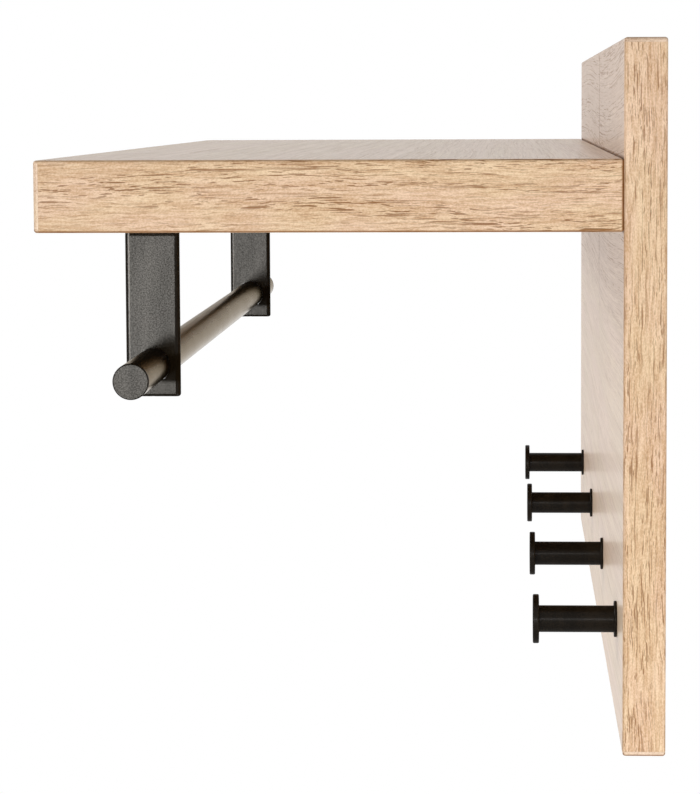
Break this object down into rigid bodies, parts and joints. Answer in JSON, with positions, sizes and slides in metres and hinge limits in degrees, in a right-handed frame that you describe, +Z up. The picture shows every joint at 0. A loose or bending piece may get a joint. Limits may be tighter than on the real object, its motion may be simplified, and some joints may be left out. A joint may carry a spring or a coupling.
{
  "type": "wall coat rack",
  "caption": "Wall coat rack: oak-faced back panel with a deep shelf, a round hanging rail carried under the shelf by bent flat-bar brackets, and a row of black spool-shaped peg hooks.",
  "frame": {"origin": "centre of the back panel's rear face, which lies on the wall", "axes": "+Z up, +Y into the wall, so the shelf and hooks reach out along -Y; +X along the rack, to the right seen from the room"},
  "size_m": [0.8, 0.322, 0.367],
  "materials": {
    "oak_veneer": "clear matt lacquer on oak veneer, open pores",
    "oak_edge": "clear matt lacquer on oak edge band, open pores",
    "black_steel": "satin black powder coat, slightly mottled",
    "black_hook": "satin black lacquer on turned steel",
    "zinc_steel": "bright zinc plate",
    "black_screw": "black oxide",
    "beech": "bare turned beech"
  },
  "bodies": {
    "root": {"back_panel": "oak_veneer", "shelf_board": "oak_veneer", "panel_top_band": "oak_edge", "panel_bottom_band": "oak_edge", "panel_left_band": "oak_edge", "panel_right_band": "oak_edge", "shelf_front_band": "oak_edge", "shelf_left_band": "oak_edge", "shelf_right_band": "oak_edge", "bracket_left": "black_steel", "bracket_right": "black_steel", "rail_tube": "black_steel", "rail_cap_left": "black_steel", "rail_cap_right": "black_steel", "hook_head_1": "black_hook", "hook_post_1": "black_hook", "hook_rosette_1": "black_hook", "hook_head_2": "black_hook", "hook_post_2": "black_hook", "hook_rosette_2": "black_hook", "hook_head_3": "black_hook", "hook_post_3": "black_hook", "hook_rosette_3": "black_hook", "hook_head_4": "black_hook", "hook_post_4": "black_hook", "hook_rosette_4": "black_hook", "shelf_screws": "zinc_steel", "hook_screws": "zinc_steel", "hanger_screws": "zinc_steel", "hanger_left": "zinc_steel", "hanger_right": "zinc_steel", "bracket_screws": "black_screw", "rail_grub_screws": "black_screw", "shelf_dowels": "beech"}
  },
  "joints": []
}
